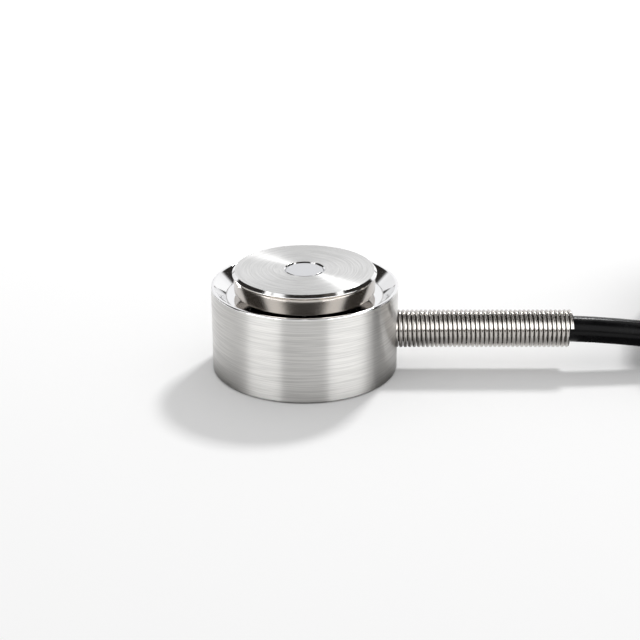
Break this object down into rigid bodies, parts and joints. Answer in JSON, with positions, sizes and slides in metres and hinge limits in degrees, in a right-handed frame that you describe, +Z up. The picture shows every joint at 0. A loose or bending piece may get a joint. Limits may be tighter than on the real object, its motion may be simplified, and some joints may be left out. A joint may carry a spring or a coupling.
{
  "type": "pancake load cell",
  "caption": "Round steel compression load cell with a flat load button in a polished dish and a cable with a spring strain relief.",
  "frame": {"origin": "centre of the body's standing face", "axes": "+Z up along the body's axis, towards the load button; +X along the cable's way out"},
  "size_m": [0.1149, 0.0519, 0.0153],
  "materials": {
    "body_steel": "turned side with a polished dish",
    "button_steel": "fine turned face, polished chamfer",
    "pin_steel": "fine ground",
    "cover_steel": "fine turned",
    "spring_steel": "bright drawn wire",
    "ferrule_brass": "bright",
    "gauge_film": "amber film with foil grid",
    "board_green": "varnished",
    "resistor_black": "matt",
    "solder": "bright",
    "wire_copper": "varnished copper",
    "tinned_copper": "tinned",
    "insulation_red": "satin",
    "insulation_black": "satin",
    "insulation_green": "satin",
    "insulation_white": "satin",
    "cable_black": "satin jacket",
    "sleeve_black": "shrunk sleeve"
  },
  "bodies": {
    "root": {"body": "body_steel", "load_button": "button_steel", "centre_pin": "pin_steel", "base_cover": "cover_steel", "strain_gauge_1": "gauge_film", "strain_gauge_2": "gauge_film", "strain_gauge_3": "gauge_film", "strain_gauge_4": "gauge_film", "terminal_ring": "board_green", "span_resistor": "resistor_black", "zero_resistor": "resistor_black", "solder_joints": "solder", "gauge_wires": "wire_copper", "conductor_red": "insulation_red", "conductor_black": "insulation_black", "conductor_green": "insulation_green", "conductor_white": "insulation_white", "cable_ferrule": "ferrule_brass", "strain_relief_spring": "spring_steel", "cable": "cable_black", "cable_coil": "cable_black", "end_sleeve": "sleeve_black", "lead_red": "insulation_red", "lead_black": "insulation_black", "lead_green": "insulation_green", "lead_white": "insulation_white", "lead_shield": "tinned_copper", "lead_tips": "tinned_copper"}
  },
  "joints": []
}
